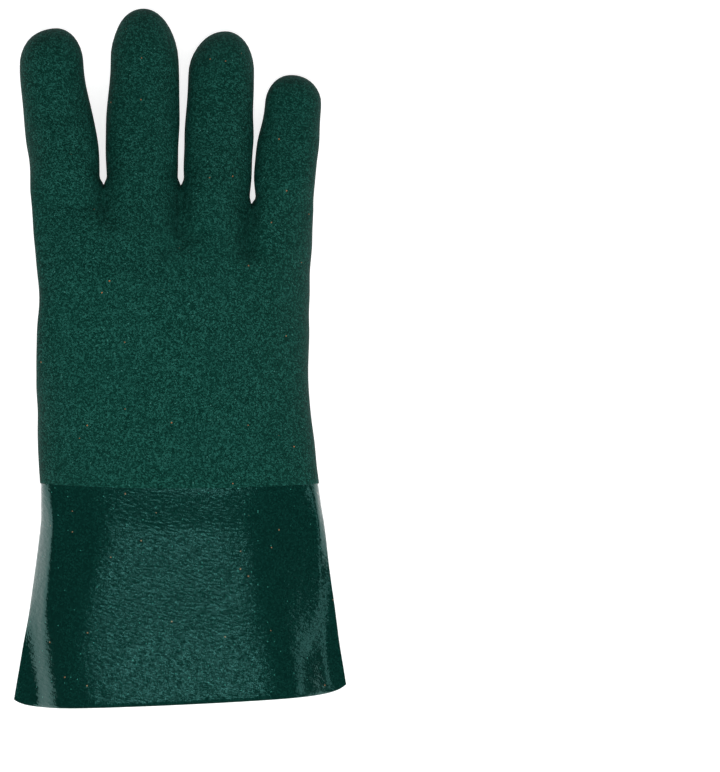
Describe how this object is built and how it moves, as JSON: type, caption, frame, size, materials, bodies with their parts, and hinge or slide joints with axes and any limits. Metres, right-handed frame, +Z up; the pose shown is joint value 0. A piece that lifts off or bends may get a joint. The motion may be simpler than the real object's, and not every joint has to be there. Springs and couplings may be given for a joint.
{
  "type": "pvc coated work glove",
  "caption": "Right-hand PVC coated work glove with a sandy grip hand and a smooth gauntlet cuff, lying palm down.",
  "frame": {"origin": "on the surface that the glove rests on, under the middle of its bounding box", "axes": "+X from the index side to the little finger side, +Y from the cuff mouth to the fingertips, +Z up out of the back of the hand"},
  "size_m": [0.1454, 0.3053, 0.0441],
  "materials": {
    "sandy_pvc": "dark teal green PVC with a fine, rough, sandy surface",
    "smooth_pvc": "dark teal green PVC, smooth and glossy, with the knit of the cloth showing through"
  },
  "bodies": {
    "root": {"coated_hand": "sandy_pvc", "gauntlet_cuff": "smooth_pvc"}
  },
  "joints": []
}
